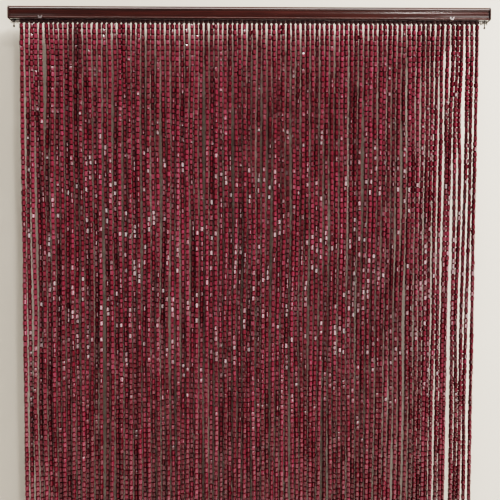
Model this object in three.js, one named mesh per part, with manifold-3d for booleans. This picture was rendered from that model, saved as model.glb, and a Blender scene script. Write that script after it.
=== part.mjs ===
import * as THREE from "three";
import { mergeVertices } from "three/addons/utils/BufferGeometryUtils.js";
import Module from "manifold-3d";

// Bead curtain on a track rail. Millimetres, +Z up, the front towards -Y.
// The origin is the centre of the headrail's flat back face.

// Headrail and its groove
const RAIL_LENGTH = 900;
const RAIL_DEPTH = 20;
const RAIL_HEIGHT = 23;
const CAP_THICK = 3;
const GROOVE_WIDTH = 14.6;
const GROOVE_DEEP = 8;
const GAP = 0.3;

// Aluminium channel in the groove
const TRACK_WALL = 1.1;
const TRACK_HEIGHT = 7.5;
const SLOT_WIDTH = 5;

// Runner row: head in the channel, neck through the slot, body below
const RUNNER_BODY = 4;
const RUNNER_DROP = 4.7;
const RUNNER_HALF_LENGTH = 431.5;

// Strands
const STRANDS = 95;
const PITCH = 9.1;
const LEAST_STEP = 7;
const BEAD_RADIUS = 3.55;
const STAGGER = 1.7;
const STRAND_LENGTH = 1771.9;
const LEVELS = [0, 70, 160, 270, 400, 550, 720, 910, 1150, 1440, STRAND_LENGTH];
const LOOSEN = 45;
const GATHER = 0.4;
const WAVES = [1900, 760, 430];

// Places where the curtain hangs open, or closed where the strength is below zero:
// space between strand k and k + 1, from, to, strength
const OPEN_PLACES = [
  [3, -60, 300, 1.1],
  [4, -60, 150, 1],
  [5, 250, 960, 0.9],
  [16, 250, 420, 1],
  [16, 700, 960, 0.9],
  [32, 270, 720, 1],
  [70, 60, 400, 1],
  [82, 90, 340, 1.7],
  [83, 340, 1050, -1.3],
  [84, 340, 1050, -1.1],
  [85, 340, 1050, 0.6],
  [86, -60, 470, 2.3],
  [86, 640, 1050, 2.4],
  [87, -60, 100, 1.7],
  [87, 200, 610, 1.7],
  [87, 640, 1050, -1.2],
  [88, -60, 220, 2.1],
  [88, 340, 1050, -1.3],
  [89, 90, 470, 1.4],
  [89, 470, 1050, 2.4],
  [89, 830, 1050, 0.7],
  [90, 190, 470, 1.9],
  [90, 470, 640, -1.6],
  [90, 640, 830, 0.8],
  [91, -60, 640, 1.9],
  [91, 640, 1000, -0.9],
  [92, 90, 1000, 2.6],
  [93, 60, 230, 2.6],
  [93, 440, 830, 2.3],
  [93, 830, 1000, 2.4],
];

// End stops and clips
const STOP_X = 442;
const STOP_STEM = 0.9;
const STOP_BALL = 1.9;
const STOP_BALL_Z = -23;
const CLIP_LEFT_X = -389;
const CLIP_RIGHT_X = 377;
const CLIP_WIDTH = 5;
const CLIP_FLARE = 9;
const CLIP_THICK = 0.8;
const CLIP_UP = 4.6;

const HALF_HEIGHT = RAIL_HEIGHT / 2;
const MIDDLE_Y = -RAIL_DEPTH / 2;
const LIP_Z = -HALF_HEIGHT + 0.2;
const RAIL_HALF = RAIL_LENGTH / 2 - CAP_THICK - GAP;
const ROOT_Z = -HALF_HEIGHT - RUNNER_DROP;

const wasm = await Module();
wasm.setup();

// A geometry as a closed solid
function solidOf(geometry) {
  const bare = geometry.index ? geometry : mergeVertices(geometry);
  const clean = bare.clone();
  clean.deleteAttribute("normal");
  clean.deleteAttribute("uv");
  const merged = mergeVertices(clean, 1e-4);
  return new wasm.Manifold(
    new wasm.Mesh({
      numProp: 3,
      vertProperties: new Float32Array(merged.attributes.position.array),
      triVerts: new Uint32Array(merged.index.array),
    }),
  );
}

// A closed solid as a geometry
function geometryOf(solid) {
  const mesh = solid.getMesh();
  const points = new Float32Array(mesh.numVert * 3);
  for (let i = 0; i < mesh.numVert; i++) {
    const from = i * mesh.numProp;
    points.set(mesh.vertProperties.subarray(from, from + 3), i * 3);
  }
  const geometry = new THREE.BufferGeometry();
  geometry.setAttribute("position", new THREE.BufferAttribute(points, 3));
  geometry.setIndex(new THREE.BufferAttribute(mesh.triVerts, 1));
  const flat = geometry.toNonIndexed();
  flat.computeVertexNormals();
  return flat;
}

// A block between two corners
function block(low, high) {
  const size = high.map((value, i) => value - low[i]);
  const geometry = new THREE.BoxGeometry(...size);
  geometry.translate(...low.map((value, i) => value + size[i] / 2));
  return solidOf(geometry);
}

// An outline of (y, z) points drawn out along X
function along(outline, fromX, toX) {
  const shape = new THREE.Shape(outline.map(([y, z]) => new THREE.Vector2(y, z)));
  const options = { depth: toX - fromX, bevelEnabled: false, steps: 1 };
  const geometry = new THREE.ExtrudeGeometry(shape, options);
  const turn = new THREE.Matrix4().makeBasis(
    new THREE.Vector3(0, 1, 0),
    new THREE.Vector3(0, 0, 1),
    new THREE.Vector3(1, 0, 0),
  );
  geometry.applyMatrix4(turn);
  geometry.translate(fromX, 0, 0);
  return solidOf(geometry);
}

// Moulded headrail: sloped top lip, hollow face, sloped bottom lip, groove below
function headrail() {
  const outline = [
    [0, -11.5],
    [0, 11.5],
    [-17, 11.5],
    [-17.7, 11.1],
    [-19.9, 7.4],
    [-20, 6.9],
    [-19.8, 6.4],
    [-18.4, 5],
    [-18.1, 4.4],
    [-18.3, 3.4],
    [-18.8, 1.4],
    [-19, -1],
    [-18.9, -3.4],
    [-18.5, -6],
    [-18.2, -7.7],
    [-19.7, -9.3],
    [-20, -9.9],
    [-20, -10.5],
    [-19.6, -11.2],
    [-18.9, -11.5],
  ];
  const groove = block(
    [-RAIL_HALF - 1, MIDDLE_Y - GROOVE_WIDTH / 2, -HALF_HEIGHT - 1],
    [RAIL_HALF + 1, MIDDLE_Y + GROOVE_WIDTH / 2, -HALF_HEIGHT + GROOVE_DEEP],
  );
  return along(outline, -RAIL_HALF, RAIL_HALF).subtract(groove);
}

// C-shaped channel with a slot in its underside
function track() {
  const half = GROOVE_WIDTH / 2 - GAP;
  const top = LIP_Z + TRACK_HEIGHT;
  const outer = block([-RAIL_HALF, MIDDLE_Y - half, LIP_Z], [RAIL_HALF, MIDDLE_Y + half, top]);
  const inside = half - TRACK_WALL;
  const hollow = block(
    [-RAIL_HALF - 1, MIDDLE_Y - inside, LIP_Z + TRACK_WALL],
    [RAIL_HALF + 1, MIDDLE_Y + inside, top - TRACK_WALL],
  );
  const slot = block(
    [-RAIL_HALF - 1, MIDDLE_Y - SLOT_WIDTH / 2, LIP_Z - 1],
    [RAIL_HALF + 1, MIDDLE_Y + SLOT_WIDTH / 2, LIP_Z + TRACK_WALL + 1],
  );
  return outer.subtract(hollow).subtract(slot);
}

// Plate that closes an end of the headrail
function endCap(side) {
  const outline = [
    [0, -11.9],
    [0, 11.9],
    [-17.4, 11.9],
    [-18.2, 11.5],
    [-20.4, 7.8],
    [-20.4, -10.8],
    [-19.6, -11.9],
  ];
  const inner = RAIL_LENGTH / 2 - CAP_THICK;
  const from = side < 0 ? -RAIL_LENGTH / 2 : inner;
  return along(outline, from, from + CAP_THICK);
}

// Stop button in the slot, with a stem and a small ball under the rail
function endStop(side) {
  const low = LIP_Z - GAP;
  const above = LIP_Z + TRACK_WALL + GAP;
  const profile = [
    [0, above + 3.2],
    [3.4, above + 3.2],
    [4, above + 2.6],
    [4, above],
    [2.2, above],
    [2.2, low],
    [3, low],
    [3, low - 0.9],
    [2.4, low - 1.3],
    [STOP_STEM, low - 1.6],
  ];
  const start = Math.asin(STOP_STEM / STOP_BALL);
  for (let i = 0; i <= 6; i++) {
    const angle = start + ((Math.PI - start) * i) / 6;
    const radius = i < 6 ? STOP_BALL * Math.sin(angle) : 0;
    profile.push([radius, STOP_BALL_Z + STOP_BALL * Math.cos(angle)]);
  }
  const points = profile.reverse().map(([r, z]) => new THREE.Vector2(r, z));
  const geometry = new THREE.LatheGeometry(points, 14);
  geometry.rotateX(Math.PI / 2);
  geometry.translate(side * STOP_X, MIDDLE_Y, 0);
  return solidOf(geometry);
}

// Spring steel strap under the rail, its flared tongue notched in a V over the front lip
function clip(x) {
  const top = -HALF_HEIGHT - GAP;
  const front = -RAIL_DEPTH - GAP;
  const half = CLIP_WIDTH / 2;
  const strap = block([x - half, front - CLIP_THICK, top - CLIP_THICK], [x + half, -0.5, top]);
  const shape = new THREE.Shape([
    new THREE.Vector2(-half, top - CLIP_THICK),
    new THREE.Vector2(half, top - CLIP_THICK),
    new THREE.Vector2(CLIP_FLARE / 2, top + CLIP_UP),
    new THREE.Vector2(CLIP_FLARE / 2 - 2, top + CLIP_UP + 0.5),
    new THREE.Vector2(0, top + 1.6),
    new THREE.Vector2(2 - CLIP_FLARE / 2, top + CLIP_UP + 0.5),
    new THREE.Vector2(-CLIP_FLARE / 2, top + CLIP_UP),
  ]);
  const geometry = new THREE.ExtrudeGeometry(shape, { depth: CLIP_THICK, bevelEnabled: false });
  geometry.rotateX(Math.PI / 2);
  geometry.translate(x, front, 0);
  return strap.add(solidOf(geometry));
}

// A steady number from 0 to 1 for a pair of whole numbers
function steady(k, m) {
  const value = Math.sin(k * 12.9898 + m * 78.233) * 43758.5453;
  return value - Math.floor(value);
}

// How far open the space after strand k tends to hang at depth s below the runners
function openness(k, s) {
  let sum = 0.9 * Math.sin(2 * Math.PI * steady(k, 9));
  WAVES.forEach((length, m) => {
    sum += Math.sin(2 * Math.PI * (s / length + steady(k, m)));
  });
  sum *= GATHER;
  for (const [place, from, to, strength] of OPEN_PLACES) {
    const way = (s - (from + to) / 2) / ((to - from) / 2);
    if (place === k) sum += strength * Math.exp(-(way ** 4));
  }
  return Math.exp(sum);
}

// X of every strand at depth s: steps of LEAST_STEP plus a share of the spare width,
// each share taken against its neighbours' so that the curtain stays evenly spread
function spread(s) {
  const steps = STRANDS - 1;
  const open = Array.from({ length: steps }, (_, k) => openness(k, s));
  const share = open.map((value, k) => {
    const near = open.slice(Math.max(0, k - 5), k + 6);
    return value / (near.reduce((a, b) => a + b) / near.length);
  });
  const whole = share.reduce((a, b) => a + b);
  const spare = steps * (PITCH - LEAST_STEP);
  const free = 1 - Math.exp(-s / LOOSEN);
  const first = (-steps * PITCH) / 2;
  const xs = [first];
  share.forEach((value) => {
    const loose = LEAST_STEP + (spare * value) / whole;
    xs.push(xs[xs.length - 1] + PITCH * (1 - free) + loose * free);
  });
  return xs;
}

// Y of strand i at depth s: neighbours hang a little before and behind each other
function depthOf(i, s) {
  const free = 1 - Math.exp(-s / LOOSEN);
  const side = i % 2 === 0 ? -1 : 1;
  const wave = Math.sin(2 * Math.PI * (s / WAVES[1] + steady(i, 5)));
  return MIDDLE_Y + side * free * (STAGGER + 0.3 + 0.3 * wave);
}

// One hanging strand of four flat sides, its top sunk in the runner row
function strand(i, columns) {
  const rings = [[columns[0][i], MIDDLE_Y, ROOT_Z + 2]];
  LEVELS.forEach((s, level) => rings.push([columns[level][i], depthOf(i, s), ROOT_Z - s]));
  const points = [];
  const faces = [];
  rings.forEach(([x, y, z]) => {
    points.push(x + BEAD_RADIUS, y, z, x, y + BEAD_RADIUS, z);
    points.push(x - BEAD_RADIUS, y, z, x, y - BEAD_RADIUS, z);
  });
  faces.push(0, 1, 2, 0, 2, 3);
  for (let level = 0; level < rings.length - 1; level++) {
    const a = level * 4;
    for (let side = 0; side < 4; side++) {
      const next = (side + 1) % 4;
      faces.push(a + side, a + 4 + side, a + 4 + next);
      faces.push(a + side, a + 4 + next, a + next);
    }
  }
  const last = (rings.length - 1) * 4;
  faces.push(last, last + 2, last + 1, last, last + 3, last + 2);
  return new wasm.Manifold(
    new wasm.Mesh({
      numProp: 3,
      vertProperties: new Float32Array(points),
      triVerts: new Uint32Array(faces),
    }),
  );
}

// Runner row with every strand hanging from it
function strands() {
  const half = RUNNER_HALF_LENGTH;
  const row = (halfWidth, low, high) =>
    block([-half, MIDDLE_Y - halfWidth, low], [half, MIDDLE_Y + halfWidth, high]);
  const inside = GROOVE_WIDTH / 2 - 2 * GAP - TRACK_WALL;
  const above = LIP_Z + TRACK_WALL + GAP;
  const top = LIP_Z + TRACK_HEIGHT - TRACK_WALL - GAP;
  let body = row(RUNNER_BODY / 2, ROOT_Z, LIP_Z - GAP);
  body = body.add(row(SLOT_WIDTH / 2 - GAP, LIP_Z - 1.5, above + 1));
  body = body.add(row(inside, above, top));
  for (const x of [CLIP_LEFT_X, CLIP_RIGHT_X]) {
    const wide = CLIP_WIDTH / 2 + GAP;
    const under = -HALF_HEIGHT - CLIP_THICK - 2 * GAP;
    body = body.subtract(block([x - wide, -RAIL_DEPTH, under], [x + wide, 0, -HALF_HEIGHT]));
  }
  const columns = LEVELS.map((s) => spread(s));
  for (let i = 0; i < STRANDS; i++) body = body.add(strand(i, columns));
  return body;
}

const FINISHES = {
  lacquer: { color: 0x3a1411, roughness: 0.25, metalness: 0 },
  aluminium: { color: 0xc8cacc, roughness: 0.35, metalness: 1 },
  plastic: { color: 0x241312, roughness: 0.4, metalness: 0 },
  steel: { color: 0xa9abad, roughness: 0.3, metalness: 1 },
  beads: { color: 0x6b1526, roughness: 0.22, metalness: 0 },
};

const curtain = new THREE.Group();
curtain.name = "bead_curtain";

function place(name, solid, finish) {
  const mesh = new THREE.Mesh(geometryOf(solid), new THREE.MeshStandardMaterial(FINISHES[finish]));
  mesh.name = name;
  curtain.add(mesh);
}

place("headrail", headrail(), "lacquer");
place("track", track(), "aluminium");
place("end_cap_left", endCap(-1), "plastic");
place("end_cap_right", endCap(1), "plastic");
place("end_stop_left", endStop(-1), "steel");
place("end_stop_right", endStop(1), "steel");
place("clip_left", clip(CLIP_LEFT_X), "steel");
place("clip_right", clip(CLIP_RIGHT_X), "steel");
place("strands", strands(), "beads");

export default curtain;
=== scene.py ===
"""Bead curtain on a track rail: beads, runners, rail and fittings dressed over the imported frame."""

import logging
import math
from dataclasses import dataclass
from enum import Enum
from typing import Sequence

import bmesh
import bpy
import numpy as np
from mathutils import Matrix, Vector
from numpy.typing import NDArray


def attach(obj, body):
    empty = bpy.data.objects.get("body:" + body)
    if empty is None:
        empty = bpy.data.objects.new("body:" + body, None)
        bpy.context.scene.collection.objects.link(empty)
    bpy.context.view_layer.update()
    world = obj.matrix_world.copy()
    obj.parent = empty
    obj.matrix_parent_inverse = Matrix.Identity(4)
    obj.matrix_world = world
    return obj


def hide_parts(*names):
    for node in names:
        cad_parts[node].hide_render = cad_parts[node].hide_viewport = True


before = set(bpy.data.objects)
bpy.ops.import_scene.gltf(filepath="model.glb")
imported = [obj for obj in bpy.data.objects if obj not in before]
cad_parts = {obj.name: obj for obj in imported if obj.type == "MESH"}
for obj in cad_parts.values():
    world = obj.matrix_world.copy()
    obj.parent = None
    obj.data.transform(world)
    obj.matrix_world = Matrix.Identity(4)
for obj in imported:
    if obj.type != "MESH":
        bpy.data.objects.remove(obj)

LOG = logging.getLogger("bead_curtain")
Array = NDArray[np.float64]
Indices = NDArray[np.int64]
Pair = tuple[float, float]
Point = tuple[float, float, float]
Colour = tuple[float, float, float]
Grain = tuple[float, Point, float]
Piece = bpy.types.Object
Material = bpy.types.Material
Socket = bpy.types.NodeSocket

MM = 0.001
BODY = "root"
SHARP_DEGREES = 35
FLAT_DEGREES = 1
WELD_GAP = 1e-6
BEAD_RINGS = 3


class Side(Enum):
    """Which end of the rail a fitting belongs to, as a sign along X."""

    LEFT = -1
    RIGHT = 1


class Shading(Enum):
    """How a piece's faces are shaded."""

    FACETED = "faceted"
    SMOOTH = "smooth"
    ROUND = "round"


# Meshes


def mesh_piece(
    name: str, points: Array, faces: Sequence[Indices], shading: Shading = Shading.SMOOTH
) -> Piece:
    """Makes an object at the origin from whole arrays.

    Args:
        name: The piece's name.
        points: Vertices in millimetres, shape (n, 3).
        faces: Blocks of faces, each of shape (m, corners).
        shading: Faceted, smooth with its sharp edges kept, or all round.

    Returns:
        The linked object, its place in its mesh.
    """
    mesh = bpy.data.meshes.new(name)
    corners = np.concatenate([block.reshape(-1) for block in faces]).astype(np.int32)
    sizes = np.concatenate([np.full(len(block), block.shape[1]) for block in faces])
    starts = np.concatenate([[0], np.cumsum(sizes)[:-1]]).astype(np.int32)
    mesh.vertices.add(len(points))
    mesh.vertices.foreach_set("co", (points * MM).astype(np.float32).reshape(-1))
    mesh.loops.add(len(corners))
    mesh.loops.foreach_set("vertex_index", corners)
    mesh.polygons.add(len(sizes))
    mesh.polygons.foreach_set("loop_start", starts)
    mesh.update(calc_edges=True)
    mesh.validate()
    smooth = np.full(len(mesh.polygons), shading is not Shading.FACETED)
    mesh.polygons.foreach_set("use_smooth", smooth)
    if shading is Shading.SMOOTH:
        mesh.set_sharp_from_angle(angle=math.radians(SHARP_DEGREES))
    piece = bpy.data.objects.new(name, mesh)
    bpy.context.scene.collection.objects.link(piece)
    return piece


def grid_quads(rows: int, columns: int, copies: int = 1) -> Indices:
    """Quads of a tube: rows of points, each row a closed ring of columns.

    The corner (r, c) is point r * columns + c, the next column wraps round, and each
    copy adds rows * columns to every index.

    Args:
        rows: Rings along the tube.
        columns: Points round each ring.
        copies: Separate tubes, one after the other in the point array.

    Returns:
        Array of shape (copies * (rows - 1) * columns, 4).
    """
    r, c = np.meshgrid(np.arange(rows - 1), np.arange(columns), indexing="ij")
    after = (c + 1) % columns
    here, below = r * columns, (r + 1) * columns
    quads = np.stack([here + c, below + c, below + after, here + after], axis=-1)
    shift = np.arange(copies)[:, None, None] * rows * columns
    return (quads.reshape(-1, 4)[None] + shift).reshape(-1, 4)


def ring_caps(rows: int, columns: int, copies: int = 1) -> Indices:
    """End faces that close each tube of grid_quads.

    Args:
        rows: Rings along the tube.
        columns: Points round each ring.
        copies: Separate tubes.

    Returns:
        Array of shape (2 * copies, columns).
    """
    ring = np.arange(columns)
    first = ring[None] + np.arange(copies)[:, None] * rows * columns
    last = first[:, ::-1] + (rows - 1) * columns
    return np.concatenate([first, last])


def tube_faces(rows: int, columns: int, copies: int = 1) -> list[Indices]:
    """Sides and ends of closed tubes: grid_quads with ring_caps."""
    return [grid_quads(rows, columns, copies), ring_caps(rows, columns, copies)]


def rounded_outline(corners: Sequence[Sequence[float]], reach: float, steps: int) -> Array:
    """An outline whose every corner is a short curve.

    Corner B between A and C becomes the quadratic curve from B + reach towards A, through
    the pull of B, to B + reach towards C. The reach is cut to 0.45 of the shorter side.

    Args:
        corners: (first, second) coordinates round the outline.
        reach: How far from the corner its curve starts, in millimetres.
        steps: Points on each curve.

    Returns:
        Array of shape (corners * steps, 2).
    """
    middle = np.asarray(corners, float)
    before = np.roll(middle, 1, axis=0) - middle
    after = np.roll(middle, -1, axis=0) - middle
    length_a = np.linalg.norm(before, axis=1, keepdims=True)
    length_c = np.linalg.norm(after, axis=1, keepdims=True)
    cut = np.minimum(reach, 0.45 * np.minimum(length_a, length_c))
    start = middle + before / length_a * cut
    end = middle + after / length_c * cut
    t = np.linspace(0, 1, steps)[None, :, None]
    curve = (1 - t) ** 2 * start[:, None] + 2 * t * (1 - t) * middle[:, None]
    return (curve + t**2 * end[:, None]).reshape(-1, 2)


def drawn_along_x(
    name: str, outline: Array, stations: Sequence[float], insets: Sequence[float]
) -> Piece:
    """A closed bar: an outline of (y, z) points carried along X.

    At each station the outline is drawn towards its own middle by the inset, which rounds
    the bar's ends.

    Args:
        name: The piece's name.
        outline: Shape (n, 2), counter-clockwise seen from -X.
        stations: X of each ring, in millimetres.
        insets: How far each ring is drawn in, in millimetres.

    Returns:
        The object.
    """
    centre = (outline.min(0) + outline.max(0)) / 2
    half = (outline.max(0) - outline.min(0)) / 2
    scale = 1 - np.asarray(insets, float)[:, None, None] / half[None, None]
    rings = centre + (outline[None] - centre) * scale
    x = np.broadcast_to(np.asarray(stations, float)[:, None, None], rings.shape[:2] + (1,))
    points = np.concatenate([x, rings], axis=-1).reshape(-1, 3)
    rows, columns = rings.shape[:2]
    return mesh_piece(name, points, tube_faces(rows, columns))


def turned(name: str, profile: Array, centres: Array, sides: int) -> Piece:
    """Pieces turned about upright axes, as many as there are centres.

    The point for profile entry (radius, z) at angle a is centre + (radius cos a, radius sin a, z).

    Args:
        name: The piece's name.
        profile: (radius, z) from the top down, in millimetres, shape (n, 2).
        centres: (x, y, z) of each axis, shape (copies, 3).
        sides: Faces round each axis.

    Returns:
        The object.
    """
    angle = np.arange(sides) / sides * 2 * math.pi
    ring = np.stack([np.cos(angle), np.sin(angle), np.zeros(sides)], axis=-1)
    up = np.array([0.0, 0.0, 1.0])
    one = profile[:, 0, None, None] * ring[None] + profile[:, 1, None, None] * up
    points = (centres[:, None, None] + one[None]).reshape(-1, 3)
    rows, copies = len(profile), len(centres)
    return mesh_piece(name, points, tube_faces(rows, sides, copies))


def fit_to_object(
    piece: Piece, slot: str | None, material: Material, *nodes: str
) -> None:
    """Dresses a piece, lets it ride on the curtain and hides the solids that it stands for.

    Args:
        piece: The finished piece.
        slot: The record's material slot, or None where it has none of its own; not used.
        material: Its finish.
        nodes: Solids that it replaces.
    """
    piece.data.materials.clear()
    piece.data.materials.append(material)
    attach(piece, BODY)
    if nodes:
        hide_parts(*nodes)
    LOG.info("%s: %d faces", piece.name, len(piece.data.polygons))


def solid(name: str) -> Piece:
    """The CAD node of that name."""
    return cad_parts[name]


def dress_solid(name: str, material: Material) -> None:
    """Gives a CAD node that stays in view its finish.

    Args:
        name: The node's name.
        material: Its finish.
    """
    node = solid(name)
    node.data.materials.clear()
    node.data.materials.append(material)
    LOG.info("%s: dressed", name)


def weld(piece: Piece) -> None:
    """Merges a mesh's loose triangles and dissolves the edges inside its flat faces.

    Args:
        piece: The object whose mesh is changed.
    """
    work = bmesh.new()
    work.from_mesh(piece.data)
    bmesh.ops.remove_doubles(work, verts=work.verts, dist=WELD_GAP)
    bmesh.ops.dissolve_limit(
        work, angle_limit=math.radians(FLAT_DEGREES), verts=work.verts, edges=work.edges
    )
    work.to_mesh(piece.data)
    work.free()
    piece.data.polygons.foreach_set("use_smooth", np.zeros(len(piece.data.polygons), bool))


# Finishes


class FinishGraph:
    """One node material, with a shader and an output ready to be linked."""

    def __init__(self, name: str) -> None:
        """Starts an empty graph.

        Args:
            name: The material's name.
        """
        self.material = bpy.data.materials.new(name)
        self.material.use_nodes = True
        self.tree = self.material.node_tree
        self.tree.nodes.clear()
        self.output = self.tree.nodes.new("ShaderNodeOutputMaterial")
        self.shader = self.tree.nodes.new("ShaderNodeBsdfPrincipled")
        self.link(self.shader.outputs[0], self.output.inputs["Surface"])

    def node(self, kind: str) -> bpy.types.Node:
        """Adds a node of that kind."""
        return self.tree.nodes.new(kind)

    def link(self, source: Socket, target: Socket) -> None:
        """Links two sockets."""
        self.tree.links.new(source, target)

    def fixed(self, **values: float) -> None:
        """Sets the shader's own sockets.

        Args:
            values: Numbers by the sockets' names, with underscores for spaces.
        """
        for key, value in values.items():
            label = key.replace("_", " ").title().replace("Ior", "IOR")
            self.shader.inputs[label].default_value = value

    def grain(self, scale: float, stretch: Point, detail: float) -> Socket:
        """Noise on Object coordinates, drawn out along the axes.

        Args:
            scale: Waves a metre before the stretch.
            stretch: Factor on each coordinate.
            detail: Octaves.

        Returns:
            The noise value's socket.
        """
        place = self.node("ShaderNodeTexCoord")
        drawn = self.node("ShaderNodeMapping")
        drawn.inputs["Scale"].default_value = stretch
        noise = self.node("ShaderNodeTexNoise")
        noise.inputs["Scale"].default_value = scale
        noise.inputs["Detail"].default_value = detail
        self.link(place.outputs["Object"], drawn.inputs["Vector"])
        self.link(drawn.outputs["Vector"], noise.inputs["Vector"])
        return noise.outputs["Fac"]

    def colour(self, value: Socket, *stops: tuple[float, Colour]) -> None:
        """Colours the finish by a value.

        Args:
            value: Socket from 0 to 1.
            stops: (place, colour) pairs in order.
        """
        ramp = self.node("ShaderNodeValToRGB")
        band = ramp.color_ramp
        band.elements[0].position, band.elements[1].position = stops[0][0], stops[-1][0]
        band.elements[0].color = (*stops[0][1], 1)
        band.elements[1].color = (*stops[-1][1], 1)
        for place, colour in stops[1:-1]:
            band.elements.new(place).color = (*colour, 1)
        self.link(value, ramp.inputs["Fac"])
        self.link(ramp.outputs["Color"], self.shader.inputs["Base Color"])

    def spread(self, value: Socket, low: float, high: float) -> Socket:
        """The value from 0 to 1 laid out from low to high.

        Args:
            value: Socket from 0 to 1.
            low: Result at 0.
            high: Result at 1.

        Returns:
            The result's socket.
        """
        laid = self.node("ShaderNodeMapRange")
        laid.inputs["To Min"].default_value = low
        laid.inputs["To Max"].default_value = high
        self.link(value, laid.inputs["Value"])
        return laid.outputs["Result"]

    def gloss(self, value: Socket, smooth: float, rough: float) -> None:
        """Lays the roughness out by a value.

        Args:
            value: Socket from 0 to 1.
            smooth: Roughness at 0.
            rough: Roughness at 1.
        """
        self.link(self.spread(value, smooth, rough), self.shader.inputs["Roughness"])

    def total(self, first: Socket, second: Socket) -> Socket:
        """Two values added up.

        Args:
            first: A socket.
            second: A socket.

        Returns:
            The sum's socket.
        """
        node = self.node("ShaderNodeMath")
        self.link(first, node.inputs[0])
        self.link(second, node.inputs[1])
        return node.outputs[0]

    def relief(self, height: Socket, strength: float, depth: float) -> None:
        """Bumps the shader's normal by a height.

        Args:
            height: Socket from 0 to 1.
            strength: Share of the bump that shows.
            depth: Height of the relief in metres.
        """
        bump = self.node("ShaderNodeBump")
        bump.inputs["Strength"].default_value = strength
        bump.inputs["Distance"].default_value = depth
        self.link(height, bump.inputs["Height"])
        self.link(bump.outputs["Normal"], self.shader.inputs["Normal"])


@dataclass(frozen=True)
class BeadLacquer:
    """Glossy burgundy lacquer, its shade and gloss marked on every bead."""

    shades: tuple[tuple[float, Colour], ...] = (
        (0.0, (0.040, 0.0034, 0.0067)),
        (0.34, (0.068, 0.0068, 0.0133)),
        (0.68, (0.108, 0.0125, 0.0248)),
        (1.0, (0.166, 0.026, 0.047)),
    )
    roughness: Pair = (0.11, 0.23)
    ior: float = 1.65
    fibre: Grain = (900.0, (1.0, 1.0, 0.25), 4.0)
    fibre_shade: float = 0.16
    bump: float = 0.15
    bump_depth: float = 0.00003

    def material(self) -> Material:
        """Builds the finish: the mark's first part gives the tone, with painted shade on the bead
        shoulders, and its last part gives the gloss.

        Returns:
            The material.
        """
        graph = FinishGraph("bead_lacquer")
        mark = graph.node("ShaderNodeAttribute")
        mark.attribute_name = "bead_mark"
        parts = graph.node("ShaderNodeSeparateXYZ")
        graph.link(mark.outputs["Vector"], parts.inputs["Vector"])
        fibre = graph.grain(*self.fibre)
        mottle = graph.spread(fibre, -self.fibre_shade, self.fibre_shade)
        graph.colour(graph.total(parts.outputs["X"], mottle), *self.shades)
        graph.gloss(parts.outputs["Z"], *self.roughness)
        graph.fixed(ior=self.ior)
        graph.relief(fibre, self.bump, self.bump_depth)
        return graph.material


@dataclass(frozen=True)
class MahoganyLacquer:
    """Dark glossy lacquer over a streaked wood grain."""

    dark: Colour = (0.008, 0.0032, 0.0028)
    brown: Colour = (0.028, 0.0064, 0.0046)
    red: Colour = (0.052, 0.012, 0.008)
    roughness: Pair = (0.22, 0.36)
    ior: float = 1.35
    coat: float = 0.3
    coat_roughness: float = 0.08
    streak: Grain = (16.0, (0.35, 12.0, 14.0), 5.0)
    pore: Grain = (220.0, (0.06, 3.0, 3.0), 3.0)
    bump: float = 0.03
    bump_depth: float = 0.0001

    def material(self) -> Material:
        """Builds the finish: long streaks along the rail, finer pores and a clear coat.

        Returns:
            The material.
        """
        graph = FinishGraph("mahogany_lacquer")
        streak = graph.grain(*self.streak)
        pore = graph.grain(*self.pore)
        both = graph.total(graph.spread(streak, -0.1, 0.9), graph.spread(pore, -0.1, 0.3))
        graph.colour(both, (0.2, self.dark), (0.5, self.brown), (0.95, self.red))
        graph.gloss(pore, *self.roughness)
        graph.fixed(ior=self.ior, coat_weight=self.coat, coat_roughness=self.coat_roughness)
        graph.relief(pore, self.bump, self.bump_depth)
        return graph.material


@dataclass(frozen=True)
class GrainedFinish:
    """A finish whose colour, gloss and relief all follow one fine grain.

    The colour goes from low to high and the roughness from its first number to its second
    as the grain goes through the band.
    """

    name: str
    low: Colour
    high: Colour
    scale: float
    stretch: Point = (1.0, 1.0, 1.0)
    detail: float = 3.0
    band: Pair = (0.35, 0.65)
    roughness: Pair = (0.22, 0.42)
    bump: float = 0.15
    bump_depth: float = 0.0001
    metallic: float = 0.0

    def material(self) -> Material:
        """Builds the finish.

        Returns:
            The material.
        """
        graph = FinishGraph(self.name)
        grain = graph.grain(self.scale, self.stretch, self.detail)
        graph.colour(grain, (self.band[0], self.low), (self.band[1], self.high))
        graph.gloss(grain, *self.roughness)
        graph.fixed(metallic=self.metallic)
        graph.relief(grain, self.bump, self.bump_depth)
        return graph.material


@dataclass(frozen=True)
class DrawnAluminium(GrainedFinish):
    """Satin drawn aluminium, its lines along the track."""

    name: str = "drawn_aluminium"
    low: Colour = (0.58, 0.59, 0.60)
    high: Colour = (0.82, 0.83, 0.84)
    scale: float = 300.0
    stretch: Point = (0.02, 4.0, 4.0)
    band: Pair = (0.3, 0.7)
    roughness: Pair = (0.28, 0.46)
    bump: float = 0.2
    metallic: float = 1.0


@dataclass(frozen=True)
class SpringSteel(GrainedFinish):
    """Steel with fine scuffs in every direction."""

    scale: float = 700.0
    detail: float = 5.0
    metallic: float = 1.0


@dataclass(frozen=True)
class MouldedPlastic(GrainedFinish):
    """Moulded plastic with the shallow pebbled skin of its mould."""

    scale: float = 1400.0
    detail: float = 2.0
    band: Pair = (0.3, 0.7)
    roughness: Pair = (0.25, 0.45)
    bump: float = 0.2


@dataclass(frozen=True)
class TwistedCord(GrainedFinish):
    """Dark nylon cord with bands across it from its twist."""

    name: str = "twisted_cord"
    low: Colour = (0.05, 0.010, 0.014)
    high: Colour = (0.16, 0.03, 0.04)
    scale: float = 1500.0
    stretch: Point = (0.6, 0.6, 1.4)
    detail: float = 2.0
    roughness: Pair = (0.5, 0.75)
    bump: float = 0.4
    bump_depth: float = 0.0002


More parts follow.
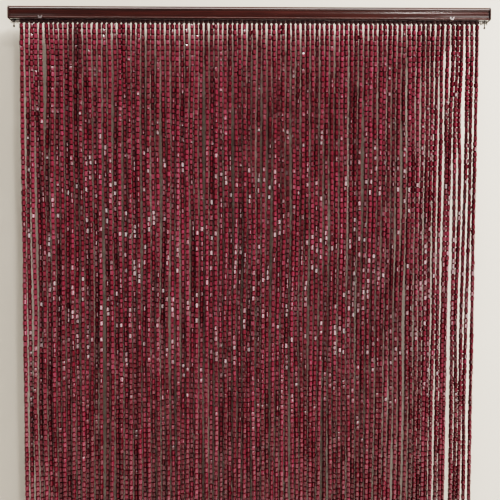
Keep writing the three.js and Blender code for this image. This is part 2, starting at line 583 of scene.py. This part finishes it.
@dataclass(frozen=True)
class PalePlaster:
    """Plain matt surface of the stage, seen from its front side only where one-sided."""

    name: str
    colour: Colour
    one_sided: bool
    roughness: float = 0.9
    mottle: float = 0.97

    def material(self) -> Material:
        """Builds a faintly mottled matt finish, clear from behind where one-sided.

        Returns:
            The material.
        """
        graph = FinishGraph(self.name)
        cloud = graph.grain(3.0, (1.0, 1.0, 1.0), 3.0)
        low = tuple(self.mottle * part for part in self.colour)
        graph.colour(cloud, (0.3, low), (0.7, self.colour))
        graph.fixed(roughness=self.roughness)
        if self.one_sided:
            facing = graph.node("ShaderNodeNewGeometry")
            clear = graph.node("ShaderNodeBsdfTransparent")
            mix = graph.node("ShaderNodeMixShader")
            graph.link(facing.outputs["Backfacing"], mix.inputs["Fac"])
            graph.link(graph.shader.outputs[0], mix.inputs[1])
            graph.link(clear.outputs[0], mix.inputs[2])
            graph.link(mix.outputs[0], graph.output.inputs["Surface"])
        return graph.material


# Hanging paths


@dataclass(frozen=True)
class HangingPaths:
    """Where every strand hangs, by the same named sizes as its solid. Millimetres.

    A strand hangs at its runner's pitch at the top, loosens within the loosen depth, and
    then keeps at least the least step from its neighbours. An open place is the number of
    a space, the depths where it starts and ends, and its strength.
    """

    strands: int = 95
    pitch: float = 9.1
    least_step: float = 7.0
    stagger: float = 1.7
    loosen: float = 45.0
    gather: float = 0.4
    middle_y: float = -10.0
    root_z: float = -16.2
    length: float = 1771.9
    levels: tuple[float, ...] = (0, 70, 160, 270, 400, 550, 720, 910, 1150, 1440, 1771.9)
    waves: tuple[float, ...] = (1900, 760, 430)
    ease: float = 35.0
    step: float = 2.0
    aside: float = 0.95
    aside_reach: float = 60.0
    neighbours: int = 5
    ease_points: int = 15
    still: float = 0.9
    play: float = 0.3
    turn_share: float = 0.5
    own_share: float = 0.7
    still_seed: int = 9
    turn_seed: int = 5
    own_seed: int = 13
    push_seed: int = 11
    open_places: tuple[tuple[int, float, float, float], ...] = (
        (3, -60, 300, 1.1), (4, -60, 150, 1.0), (5, 250, 960, 0.9),
        (16, 250, 420, 1.0), (16, 700, 960, 0.9), (32, 270, 720, 1.0),
        (70, 60, 400, 1.0), (82, 90, 340, 1.7), (83, 340, 1050, -1.3),
        (84, 340, 1050, -1.1), (85, 340, 1050, 0.6), (86, -60, 470, 2.3),
        (86, 640, 1050, 2.4), (87, -60, 100, 1.7), (87, 200, 610, 1.7),
        (87, 640, 1050, -1.2), (88, -60, 220, 2.1), (88, 340, 1050, -1.3),
        (89, 90, 470, 1.4), (89, 470, 1050, 2.4), (89, 830, 1050, 0.7),
        (90, 190, 470, 1.9), (90, 470, 640, -1.6), (90, 640, 830, 0.8),
        (91, -60, 640, 1.9), (91, 640, 1000, -0.9), (92, 90, 1000, 2.6),
        (93, 60, 230, 2.6), (93, 440, 830, 2.3), (93, 830, 1000, 2.4),
    )

    def steady(self, k: Array, m: int) -> Array:
        """A steady number from 0 to 1 for each k: a fraction of a large sine.

        It is the fraction of 43758.5453 sin(12.9898 k + 78.233 m).

        Args:
            k: Numbers of strands or spaces.
            m: Which row of numbers.

        Returns:
            The numbers, shaped as k.
        """
        value = np.sin(k * 12.9898 + m * 78.233) * 43758.5453
        return value - np.floor(value)

    def openness(self) -> Array:
        """How far open each space tends to hang at each level.

        The exponential of: three waves down the curtain, each with the space's own phase, a
        part that stays the same all the way down, and a flat-topped bump at each open place.

        Returns:
            Shape (levels, strands - 1).
        """
        k = np.arange(self.strands - 1, dtype=float)[None]
        s = np.array(self.levels, float)[:, None]
        total = self.still * np.sin(2 * np.pi * self.steady(k, self.still_seed))
        for m, length in enumerate(self.waves):
            total = total + np.sin(2 * np.pi * (s / length + self.steady(k, m)))
        total = total * self.gather
        for place, start, end, strength in self.open_places:
            way = (s - (start + end) / 2) / ((end - start) / 2)
            total = total + (k == place) * strength * np.exp(-(way**4))
        return np.exp(total)

    def spread(self) -> Array:
        """X of every strand at every level: least steps plus shares of the spare width.

        Each share is taken against the mean of the spaces round it.

        Returns:
            Shape (levels, strands).
        """
        opened = self.openness()
        steps = self.strands - 1
        apart = np.abs(np.arange(steps)[:, None] - np.arange(steps)[None])
        near = apart <= self.neighbours
        share = opened / ((opened @ near) / near.sum(0))
        share = share / share.sum(1, keepdims=True)
        loose = self.least_step + steps * (self.pitch - self.least_step) * share
        free = 1 - np.exp(-np.array(self.levels)[:, None] / self.loosen)
        step = self.pitch * (1 - free) + loose * free
        start = np.full((len(self.levels), 1), -steps * self.pitch / 2)
        return np.concatenate([start, start + np.cumsum(step, axis=1)], axis=1)

    def depth(self) -> Array:
        """Y of every strand at every level: neighbours hang a little apart in depth.

        One part of it is in turn before and behind, and one follows each strand's own waves.

        Returns:
            Shape (levels, strands).
        """
        i = np.arange(self.strands)[None]
        s = np.array(self.levels, float)[:, None]
        free = 1 - np.exp(-s / self.loosen)
        side = np.where(i % 2 == 0, -1, 1)
        wave = np.sin(2 * np.pi * (s / self.waves[1] + self.steady(i, self.turn_seed)))
        turn = side * (self.stagger + self.play + self.play * wave)
        own = np.sin(2 * np.pi * (s / self.waves[2] + self.steady(i, self.own_seed)))
        both = self.turn_share * turn + self.own_share * self.stagger * own
        return self.middle_y + free * both

    def fine(self) -> Array:
        """The paths on an even grid of depths, eased at the levels.

        Each point is the mean of the straight-line path over the depths within the ease. Near
        its runner a strand is pushed to one side: by aside * sin(2 pi steady) at the top,
        fading with depth as exp(-depth / aside_reach).

        Returns:
            Shape (depths, strands, 2) of (x, y).
        """
        depths = np.arange(0, self.length + 2 * self.step, self.step)
        offsets = np.linspace(-self.ease, self.ease, self.ease_points)
        where = np.clip(depths[:, None] + offsets[None], 0, self.length)
        levels = np.array(self.levels)
        cell = np.clip(np.searchsorted(levels, where, side="right") - 1, 0, len(levels) - 2)
        part = ((where - levels[cell]) / (levels[cell + 1] - levels[cell]))[..., None, None]
        knots = np.stack([self.spread(), self.depth()], axis=-1)
        paths = (knots[cell] * (1 - part) + knots[cell + 1] * part).mean(axis=1)
        own = self.steady(np.arange(self.strands), self.push_seed)
        push = self.aside * np.sin(2 * np.pi * own)
        paths[..., 0] += push * np.exp(-depths / self.aside_reach)[:, None]
        return paths

    def at(self, fine: Array, strand: Indices, s: Array) -> Array:
        """Points of the strands at given depths, by straight lines between grid depths.

        Args:
            fine: What fine() gives.
            strand: Strand number of each point.
            s: Depth of each point below the runners.

        Returns:
            The points' (x, y, z), with one more axis than s.
        """
        cell = np.clip((s / self.step).astype(int), 0, len(fine) - 2)
        part = (s / self.step - cell)[..., None]
        flat = fine[cell, strand] * (1 - part) + fine[cell + 1, strand] * part
        return np.concatenate([flat, (self.root_z - s)[..., None]], axis=-1)


# Sub-assemblies


@dataclass
class BeadStrands:
    """All the beads on their cords, the knots that end them and the loops that hold them.

    A drift is a slow change down a strand, and a noise is from bead to bead. Millimetres.
    """

    paths: HangingPaths
    beads: int = 180
    lead: float = 1.9
    tail: float = 2.4
    flat: float = 3.2
    half_side: float = 2.1
    waist: float = 2.5
    shoulder: float = 1.2
    # Factor on the tone of the shoulder faces: painted shade in the joints between beads.
    joint_painted_shade: float = 0.10
    crown_angle: float = 2.5
    swell_angle: float = 4.0
    neck_angles: Pair = (60.0, 80.0)
    length_noise: float = 0.07
    size_noise: float = 0.055
    turn_waves: tuple[float, ...] = (1100, 460, 210)
    turn_drift: float = 0.45
    turn_noise: float = 0.14
    shift_noise: float = 0.22
    lean_waves: tuple[float, ...] = (520, 230, 90)
    lean_drift: float = 0.07
    lean_noise: float = 0.10
    tone: float = 0.45
    tone_waves: tuple[float, ...] = (2600, 1100, 300)
    tone_drift: float = 0.13
    tone_noise: float = 0.13
    groups: int = 6
    seed: int = 20
    loop: tuple[Pair, ...] = (
        (0.1, -0.6), (0.7, -0.8), (0.9, -1.5), (0.7, -2.2), (0.6, -2.7), (0.1, -2.9),
    )
    loop_sides: int = 10
    knot: tuple[Pair, ...] = (
        (0.2, 0.4), (0.6, 0.1), (1.3, -0.4), (1.6, -1.0), (1.3, -1.6), (0.7, -2.0), (0.2, -2.3),
    )
    knot_sides: int = 12

    def section(self) -> tuple[Array, float]:
        """The eight corners of a square with cut corners.

        Returns:
            Their angles and their radius.
        """
        corner = math.atan2(self.half_side, self.flat)
        quarter = np.repeat(np.arange(4) * math.pi / 2, 2)
        return quarter + np.tile([-corner, corner], 4), math.hypot(self.flat, self.half_side)

    def drift(self, rng: np.random.Generator, depth: Array, waves: Sequence[float]) -> Array:
        """A slow change down each strand.

        It is the sum of sin(2 pi depth / wave + phase) over the waves, each strand with its
        own phases, times the root of 2 over their number.

        Args:
            rng: Source of the phases.
            depth: Depth of every bead, shape (strands, beads).
            waves: Wave lengths in millimetres.

        Returns:
            Numbers of about unit spread, shaped as the depth.
        """
        phase = rng.uniform(0, 2 * math.pi, (len(waves), depth.shape[0], 1))
        length = np.array(waves)[:, None, None]
        total = np.sin(2 * math.pi * depth[None] / length + phase).sum(axis=0)
        return total * math.sqrt(2 / len(waves))

    def rings(self) -> tuple[Array, Array, Array]:
        """The rings of every bead, worked out for all strands at once.

        Bead lengths vary by some percent and are scaled to fill the strand. Each bead has a
        waist ring where it meets the one above and two shoulder rings, turned together. Its
        turn, shift, lean and tone are slow drifts down the strand plus noise.

        Returns:
            Rings (strands, rings, 5) of depth, radius, turn, x offset and y offset, the marks
            (strands, beads, 3) of tone, a spare and gloss, and the angles of a ring's corners.
        """
        rng = np.random.default_rng(self.seed)
        shape = (self.paths.strands, self.beads)
        lengths = 1 + self.length_noise * rng.standard_normal(shape).clip(-2, 2)
        whole = self.paths.length - self.lead - self.tail
        ends = np.cumsum(lengths, axis=1)
        ends = self.lead + ends / ends[:, -1:] * whole
        tops = np.concatenate([np.full((shape[0], 1), self.lead), ends[:, :-1]], axis=1)
        size = 1 + self.size_noise * rng.standard_normal(shape).clip(-2, 1.4)
        start = rng.uniform(0, math.pi / 2, (shape[0], 1))
        turn = start + self.turn_drift * self.drift(rng, tops, self.turn_waves)
        turn = turn + self.turn_noise * rng.standard_normal(shape).clip(-2, 2)
        shift = self.shift_noise * rng.standard_normal(shape + (2,)).clip(-2, 2)
        slow = np.stack([self.drift(rng, tops, self.lean_waves) for _ in range(2)], axis=-1)
        quick = rng.standard_normal(shape + (2,)).clip(-2, 2)
        lean = self.lean_drift * slow + self.lean_noise * quick
        corners, corner = self.section()
        depth = np.stack([tops, tops + self.shoulder, ends - self.shoulder], axis=-1)
        radius = np.stack([np.full(shape, self.waist), size * corner, size * corner], axis=-1)
        turns = np.stack([turn, turn, turn], axis=-1)
        offset = np.stack([shift * 0.5, shift + lean, shift - lean], axis=2)
        body = np.concatenate([depth[..., None], radius[..., None], turns[..., None], offset], -1)
        body = body.reshape(shape[0], -1, 5)
        last = body[:, -1:].copy()
        last[:, :, 0] = ends[:, -1:]
        last[:, :, 1] = self.waist
        tone = self.tone + self.tone_drift * self.drift(rng, tops, self.tone_waves)
        tone = tone + self.tone_noise * rng.standard_normal(shape)
        marks = np.stack([tone, rng.uniform(0, 1, shape), rng.uniform(0, 1, shape)], axis=-1)
        return np.concatenate([body, last], axis=1), marks.clip(0, 1), corners

    def group(
        self, name: str, members: Indices, rings: Array, marks: Array, corners: Array
    ) -> Piece:
        """One group of neighbouring strands as a joined mesh.

        Corner c of a ring lies at the path's point plus the ring's offset, at the ring's
        radius and at the corner's angle plus the bead's turn.

        Args:
            name: The piece's name.
            members: Strand numbers in the group.
            rings: What rings() gives for all strands.
            marks: What rings() gives for all beads.
            corners: Angles of a ring's corners.

        Returns:
            The object, with the bead marks on its faces; the shoulder faces' tone is darkened as
            painted shade in the joints between beads.
        """
        own = rings[members]
        strand = np.broadcast_to(members[:, None], own.shape[:2])
        centre = self.paths.at(self.paths.fine(), strand, own[..., 0])
        centre[..., :2] += own[..., 3:5]
        angle = own[..., 2, None] + corners
        radius = own[..., 1, None]
        flat = [radius * np.cos(angle), radius * np.sin(angle), np.zeros_like(angle)]
        around = np.stack(flat, axis=-1)
        points = (centre[:, :, None] + around).reshape(-1, 3)
        copies, rows, sides = len(members), own.shape[1], len(corners)
        piece = mesh_piece(name, points, tube_faces(rows, sides, copies), Shading.ROUND)
        self.crown(piece, centre, own[..., 2], corners)
        bands = np.repeat(marks[members].reshape(-1, 1, 3), BEAD_RINGS, axis=1)
        # Darken the tone of the shoulder rows as painted shade in the joints between beads.
        bands[:, [0, 2], 0] *= self.joint_painted_shade
        per_face = np.repeat(bands.reshape(-1, 3), sides, axis=0)
        capped = np.concatenate([marks[members, 0], marks[members, -1]])
        store = piece.data.attributes.new("bead_mark", "FLOAT_VECTOR", "FACE")
        values = np.concatenate([per_face, capped]).astype(np.float32)
        store.data.foreach_set("vector", values.reshape(-1))
        return piece

    def crown(self, piece: Piece, centre: Array, turn: Array, corners: Array) -> None:
        """Crowns every flat of the beads by the normals at its corners.

        A flat's normal turns by the crown angle from its middle to each side, and by the swell
        angle from its middle to each shoulder. A shoulder's goes from the first neck angle
        to the second at the waist. The bead's own axis tilts them all.

        Args:
            piece: The group of strands.
            centre: Middle of every ring, shape (strands, rings, 3).
            turn: Turn of every ring, shape (strands, rings).
            corners: Angles of a ring's corners.
        """
        copies, rings = centre.shape[:2]
        middle = (corners + np.append(corners[1:], corners[0] + 2 * math.pi)) / 2
        sway = math.radians(self.crown_angle) * np.array([-1, -1, 1, 1])
        angle = (turn[:, :-1, None] + middle)[..., None] + sway
        swell = math.radians(self.swell_angle)
        near, far = (math.radians(a) for a in self.neck_angles)
        upper = np.tile([far, swell, -near], rings // BEAD_RINGS)
        lower = np.tile([near, -swell, -far], rings // BEAD_RINGS)
        slope = np.stack([upper, lower, lower, upper], axis=-1)[None, :, None, :, None]
        level = np.stack([np.cos(angle), np.sin(angle), np.zeros_like(angle)], axis=-1)
        body = (centre[:, :-1] - centre[:, 1:])[:, 1::BEAD_RINGS]
        body = body / np.linalg.norm(body, axis=-1, keepdims=True)
        axis = np.repeat(body, BEAD_RINGS, axis=1)[:, :, None, None]
        level = level - (level * axis).sum(-1, keepdims=True) * axis
        level = level / np.linalg.norm(level, axis=-1, keepdims=True)
        sides = (level * np.cos(slope) + axis * np.sin(slope)).reshape(-1, 3)
        caps = np.repeat([[0.0, 0.0, 1.0], [0.0, 0.0, -1.0]], copies * len(corners), axis=0)
        piece.data.normals_split_custom_set(np.concatenate([sides, caps]))

    def build(self, lacquer: Material, cord: Material) -> None:
        """Builds the groups of strands, the top loops and the end knots.

        Args:
            lacquer: Finish of the beads.
            cord: Finish of the cords.
        """
        rings, marks, corners = self.rings()
        everyone = np.arange(self.paths.strands)
        for number, members in enumerate(np.array_split(everyone, self.groups)):
            piece = self.group(f"beads_{number + 1}", members, rings, marks, corners)
            fit_to_object(piece, "bead_lacquer", lacquer, "strands")
        fine = self.paths.fine()
        top = self.paths.at(fine, everyone, np.zeros(len(everyone)))
        loops = turned("top_cords", np.array(self.loop), top, self.loop_sides)
        fit_to_object(loops, None, cord, "strands")
        last = self.paths.length - self.tail
        end = self.paths.at(fine, everyone, np.full(len(everyone), last))
        knots = turned("end_knots", np.array(self.knot), end, self.knot_sides)
        fit_to_object(knots, None, cord, "strands")


@dataclass
class RunnerRow:
    """The runners, one over each strand, with their heads in the track."""

    paths: HangingPaths
    half_width: float = 4.3
    half_depth: float = 2.4
    squareness: float = 0.55
    columns: int = 20

    def build(self, plastic: Material) -> None:
        """Builds every runner as a stack of rounded oblongs.

        The corner at angle a of an oblong with half sizes w and d lies at
        (w sign(cos a) |cos a|^p, d sign(sin a) |sin a|^p), where p is the squareness. Each
        ring is listed as its w, d and height.

        Args:
            plastic: Finish of the runners.
        """
        w, d = self.half_width, self.half_depth
        rings = [
            (0.5, 1.0, -5.3), (3.4, 4.6, -5.5), (3.9, 5.2, -6.0), (3.9, 5.2, -9.2),
            (3.4, 4.8, -9.8), (2.6, 2.0, -9.9), (2.6, 2.0, -11.4), (w - 0.4, d - 0.3, -11.7),
            (w, d, -12.1), (w, d, -14.6), (w - 0.3, d, -15.7), (w - 0.9, d - 0.1, -16.6),
            (w - 1.9, d - 0.4, -17.3), (w - 2.9, d - 0.9, -17.7), (0.4, 0.4, -17.8),
        ]
        table = np.array(rings)
        angle = np.arange(self.columns) / self.columns * 2 * math.pi
        power = self.squareness
        x = np.sign(np.cos(angle)) * np.abs(np.cos(angle)) ** power
        y = np.sign(np.sin(angle)) * np.abs(np.sin(angle)) ** power
        z = np.broadcast_to(table[:, 2, None], (len(table), self.columns))
        rows = np.stack([table[:, 0, None] * x, table[:, 1, None] * y, z], axis=-1)
        count = self.paths.strands
        centres = np.zeros((count, 3))
        centres[:, 0] = (np.arange(count) - (count - 1) / 2) * self.paths.pitch
        centres[:, 1] = self.paths.middle_y
        points = (centres[:, None, None] + rows[None]).reshape(-1, 3)
        piece = mesh_piece("runners", points, tube_faces(len(table), self.columns, count))
        fit_to_object(piece, "cap_plastic", plastic, "strands")


@dataclass
class Headrail:
    """Moulded rail with its groove, and the aluminium track in it."""

    half: float = 446.7
    reach: float = 0.5
    corner_points: int = 4
    stations: int = 61

    def outline(self) -> Array:
        """The rail's section: the solid's corners, each turned into a short curve.

        Returns:
            (y, z) points, shape (n, 2).
        """
        corners = [
            (0, -11.5), (-2.7, -11.5), (-2.7, -3.5), (-17.3, -3.5), (-17.3, -11.5),
            (-18.9, -11.5), (-19.6, -11.2), (-20, -10.5), (-20, -9.9), (-19.7, -9.3),
            (-18.2, -7.7), (-18.5, -6), (-18.9, -3.4), (-19, -1), (-18.8, 1.4),
            (-18.3, 3.4), (-18.1, 4.0), (-18.4, 4.5), (-19.8, 5.7), (-20, 6.2),
            (-19.9, 6.6), (-18.5, 8.9), (-17.9, 11.1), (-17.2, 11.5), (0, 11.5),
        ]
        return rounded_outline(corners, self.reach, self.corner_points)

    def build(self, lacquer: Material, aluminium: Material) -> None:
        """Builds the rail and dresses the track.

        Args:
            lacquer: Finish of the rail.
            aluminium: Finish of the track.
        """
        x = np.linspace(-self.half, self.half, self.stations)
        piece = drawn_along_x("headrail_wood", self.outline(), x, np.zeros(self.stations))
        fit_to_object(piece, "headrail_lacquer", lacquer, "headrail")
        dress_solid("track", aluminium)


@dataclass
class EndFittings:
    """End caps, end stops and the spare hooks beside them."""

    rail_half: float = 450.0
    cap_thick: float = 3.0
    cap_reach: float = 0.9
    cap_points: int = 5
    middle_y: float = -10.0
    stop_x: float = 442.0
    stop_sides: int = 40
    stem: float = 0.9
    ball: float = 1.9
    ball_z: float = -23.0
    ball_points: int = 14
    hook_radius: float = 1.9
    hook_wire: float = 0.5
    hook_top: float = -10.6
    hook_neck: float = -12.2
    hook_middle: float = -15.4
    hook_bow: Pair = (90.0, -200.0)
    hook_points: int = 22
    hook_sides: int = 8
    hook_places: tuple[float, ...] = (434.6, 438.0, 446.0)
    hook_turns: tuple[float, ...] = (55.0, 15.0, 40.0)

    def cap(self, side: Side) -> Piece:
        """One end cap with rounded edges.

        Args:
            side: Which end it closes.

        Returns:
            The piece.
        """
        corners = [
            (0, -11.9), (-19.6, -11.9), (-20.4, -10.8), (-20.4, 7.8),
            (-18.2, 11.5), (-17.4, 11.9), (0, 11.9),
        ]
        outline = rounded_outline(corners, self.cap_reach, self.cap_points)
        start = self.rail_half - self.cap_thick if side is Side.RIGHT else -self.rail_half
        across = np.array([0, 0.08, 0.3, 0.7, 2.3, 2.7, 2.92, 3.0]) / 3.0 * self.cap_thick
        insets = np.array([0.7, 0.4, 0.14, 0, 0, 0.14, 0.4, 0.7])
        return drawn_along_x(f"cap_{side.name.lower()}", outline, start + across, insets)

    def stop(self, side: Side) -> Piece:
        """One end stop: a button in the slot, a thin stem and a ball.

        Args:
            side: Which end it stands at.

        Returns:
            The piece.
        """
        button = [
            (0.2, -6.75), (3.2, -6.75), (3.8, -7.1), (4.0, -7.5), (4.0, -9.6), (3.8, -9.88),
            (2.2, -9.9), (2.2, -11.55), (2.8, -11.6), (3.0, -11.8), (3.0, -12.4),
            (2.4, -12.9), (1.2, -13.15), (self.stem, -13.5),
        ]
        first = math.asin(self.stem / self.ball)
        down = np.linspace(first, math.pi - 0.06, self.ball_points)
        z = self.ball_z + self.ball * np.cos(down)
        ball = np.stack([self.ball * np.sin(down), z], axis=-1)
        centre = np.array([[side.value * self.stop_x, self.middle_y, 0.0]])
        profile = np.concatenate([button, ball])
        return turned(f"stop_{side.name.lower()}", profile, centre, self.stop_sides)

    def hooks(self, side: Side) -> Piece:
        """The spare wire hooks in the slot round one end stop.

        Each hook's middle line drops out of the slot and runs round most of a circle in an
        upright plane. The wire's point at angle a lies at middle + wire (cos a N + sin a B),
        where N is the line's normal in that plane and B the plane's own normal.

        Args:
            side: Which end they hang at.

        Returns:
            The piece.
        """
        bow = np.radians(np.linspace(*self.hook_bow, self.hook_points))
        ring = self.hook_radius * np.stack([np.cos(bow), np.sin(bow)], axis=-1)
        stem = [[0.0, self.hook_top], [0.0, self.hook_neck]]
        line = np.concatenate([stem, ring + [0.0, self.hook_middle]])
        way = np.gradient(line, axis=0)
        way = way / np.linalg.norm(way, axis=1, keepdims=True)
        normal = np.stack([-way[:, 1], way[:, 0]], axis=-1)
        angle = np.arange(self.hook_sides) / self.hook_sides * 2 * math.pi
        flat = line[:, None] + self.hook_wire * np.cos(angle)[None, :, None] * normal[:, None]
        out = np.broadcast_to(self.hook_wire * np.sin(angle), flat.shape[:2])
        turn = np.radians(self.hook_turns)[:, None, None]
        x = side.value * np.array(self.hook_places)[:, None, None]
        x = x + flat[..., 0] * np.cos(turn) - out * np.sin(turn)
        y = self.middle_y + flat[..., 0] * np.sin(turn) + out * np.cos(turn)
        z = np.broadcast_to(flat[..., 1], x.shape)
        points = np.stack([x, y, z], axis=-1).reshape(-1, 3)
        faces = tube_faces(len(line), self.hook_sides, len(self.hook_places))
        return mesh_piece(f"hooks_{side.name.lower()}", points, faces)

    def build(self, plastic: Material, steel: Material) -> None:
        """Builds both caps, both stops and the hooks.

        Args:
            plastic: Finish of the caps.
            steel: Finish of the stops and hooks.
        """
        for side in Side:
            word = side.name.lower()
            fit_to_object(self.cap(side), "cap_plastic", plastic, f"end_cap_{word}")
            fit_to_object(self.stop(side), "small_steel", steel, f"end_stop_{word}")
            fit_to_object(self.hooks(side), "small_steel", steel, f"end_stop_{word}")


@dataclass
class Clips:
    """Spring steel clips under the rail."""

    edge: float = 0.15
    segments: int = 2

    def build(self, steel: Material) -> None:
        """Builds each clip from its solid, with its edges rounded.

        Args:
            steel: Finish of the clips.
        """
        for side in Side:
            node = solid(f"clip_{side.name.lower()}")
            mesh = node.data.copy()
            name = f"spring_clip_{side.name.lower()}"
            mesh.name = name
            piece = bpy.data.objects.new(name, mesh)
            bpy.context.scene.collection.objects.link(piece)
            weld(piece)
            bevel = piece.modifiers.new("edges", "BEVEL")
            bevel.width = self.edge * MM
            bevel.segments = self.segments
            bevel.limit_method = "ANGLE"
            fit_to_object(piece, "small_steel", steel, node.name)


# Stage


@dataclass(frozen=True)
class SoftLight:
    """One soft oblong light, given by its radiance and whether gloss mirrors it. Metres."""

    name: str
    place: Point
    aim: Point
    size: Pair
    glow: float
    mirrored: bool = True

    def hang(self, tint: Colour) -> None:
        """Hangs the light, its watts being glow * pi * area.

        Args:
            tint: Its colour.
        """
        light = bpy.data.lights.new(self.name, "AREA")
        light.shape = "RECTANGLE"
        light.size, light.size_y = self.size
        light.energy = self.glow * math.pi * self.size[0] * self.size[1]
        light.color = tint
        lamp = bpy.data.objects.new(self.name, light)
        toward = Vector(self.place) - Vector(self.aim)
        turn = toward.to_track_quat("Z", "Y").to_matrix().to_4x4()
        lamp.matrix_world = Matrix.Translation(self.place) @ turn
        lamp.visible_camera = False
        lamp.visible_glossy = self.mirrored
        bpy.context.scene.collection.objects.link(lamp)


@dataclass
class Studio:
    """Pale backdrop and floor, lights and the camera. Metres and degrees."""

    wall_y: float = 0.030
    wall_top: float = 2.2
    floor_z: float = -1.99
    floor_front: float = -5.0
    reach: float = 4.0
    wall_colour: Colour = (0.63, 0.582, 0.51)
    floor_colour: Colour = (0.46, 0.45, 0.43)
    lens_px: float = 520.0
    frame_px: float = 500.0
    sensor_mm: float = 36.0
    near_clip: float = 0.01
    eye: Point = (-0.0020, -1.0017, -0.4071)
    yaw: float = 0.23
    pitch: float = -2.03
    roll: float = 0.17
    tint: Colour = (1.0, 0.975, 0.94)
    sky: Colour = (1.0, 0.955, 0.92)
    sky_glow: float = 0.42
    view: str = "Filmic"
    contrast: str = "High Contrast"
    gamma: float = 0.9
    lights: tuple[SoftLight, ...] = (
        SoftLight("key", (3.18, -1.28, 1.61), (0, 0, -0.45), (1.4, 0.35), 320.0, False),
        SoftLight("spot", (1.22, -2.5, 1.8), (0, 0, -0.2), (0.42, 0.12), 210.0),
        SoftLight("left_window", (-1.3, -2.25, -0.55), (0, 0, -0.4), (0.36, 1.8), 1.8),
        SoftLight("left_pane", (-0.8, -2.4, -1.0), (0, 0, -0.6), (0.20, 0.7), 2.1),
        SoftLight("right_window", (1.3, -2.25, -0.55), (0, 0, -0.4), (0.36, 1.8), 8.8),
        SoftLight("right_pane", (0.8, -2.4, -1.0), (0, 0, -0.6), (0.20, 0.7), 4.0),
        SoftLight("ceiling", (0, -0.2, 1.8), (0, -0.1, 0), (2.6, 0.5), 9.5),
    )

    def plane(self, name: str, corners: Sequence[Point], plaster: PalePlaster) -> None:
        """One flat surface of the stage.

        Args:
            name: The object's name.
            corners: Four corners in metres, counter-clockwise from the side that shows.
            plaster: Its finish.
        """
        points = np.array(corners, float) / MM
        piece = mesh_piece(name, points, [np.array([[0, 1, 2, 3]])], Shading.FACETED)
        piece.data.materials.append(plaster.material())
        LOG.info("%s: stage", name)

    def camera(self) -> None:
        """The camera at the photograph's viewing angle, turned by yaw, pitch and roll."""
        yaw, pitch, roll = (math.radians(a) for a in (self.yaw, self.pitch, self.roll))
        level = math.cos(pitch)
        ahead = Vector((math.sin(yaw) * level, math.cos(yaw) * level, math.sin(pitch)))
        right = Vector((math.cos(yaw), -math.sin(yaw), 0.0))
        up = right.cross(ahead)
        right_r = math.cos(roll) * right + math.sin(roll) * up
        up_r = -math.sin(roll) * right + math.cos(roll) * up
        data = bpy.data.cameras.new("camera")
        data.sensor_width = self.sensor_mm
        data.lens = self.lens_px / self.frame_px * self.sensor_mm
        data.clip_start = self.near_clip
        camera = bpy.data.objects.new("camera", data)
        turn = Matrix((right_r, up_r, -ahead)).transposed().to_4x4()
        camera.matrix_world = Matrix.Translation(self.eye) @ turn
        bpy.context.scene.collection.objects.link(camera)
        bpy.context.scene.camera = camera

    def world(self) -> None:
        """Even pale light from all round, and how the picture is developed."""
        world = bpy.data.worlds.new("studio")
        world.use_nodes = True
        back = world.node_tree.nodes["Background"]
        back.inputs["Color"].default_value = (*self.sky, 1)
        back.inputs["Strength"].default_value = self.sky_glow
        bpy.context.scene.world = world
        settings = bpy.context.scene.view_settings
        settings.view_transform = self.view
        settings.look = self.contrast
        settings.gamma = self.gamma

    def build(self) -> None:
        """Builds the stage, the lights and the camera."""
        r, y, z = self.reach, self.wall_y, self.floor_z
        top, front = self.wall_top, self.floor_front
        wall = PalePlaster("pale_wall", self.wall_colour, True)
        self.plane("backdrop", [(-r, y, z), (r, y, z), (r, y, top), (-r, y, top)], wall)
        ground = PalePlaster("pale_floor", self.floor_colour, False)
        self.plane("floor", [(-r, front, z), (r, front, z), (r, r, z), (-r, r, z)], ground)
        for light in self.lights:
            light.hang(self.tint)
        self.world()
        self.camera()


def main() -> None:
    """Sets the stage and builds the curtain's classes in order."""
    logging.basicConfig(level=logging.INFO, format="%(name)s %(message)s")
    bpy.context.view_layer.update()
    Studio().build()
    paths = HangingPaths()
    steel = SpringSteel("spring_steel", (0.34, 0.29, 0.29), (0.62, 0.56, 0.56))
    blued = SpringSteel("blued_steel", (0.03, 0.026, 0.026), (0.10, 0.09, 0.09))
    dark = MouldedPlastic("cap_plastic", (0.012, 0.005, 0.005), (0.028, 0.010, 0.009))
    runner = MouldedPlastic("runner_plastic", (0.020, 0.005, 0.006), (0.055, 0.010, 0.012))
    Headrail().build(MahoganyLacquer().material(), DrawnAluminium().material())
    EndFittings().build(dark.material(), blued.material())
    Clips().build(steel.material())
    RunnerRow(paths).build(runner.material())
    BeadStrands(paths).build(BeadLacquer().material(), TwistedCord().material())


if __name__ == "__main__":
    main()
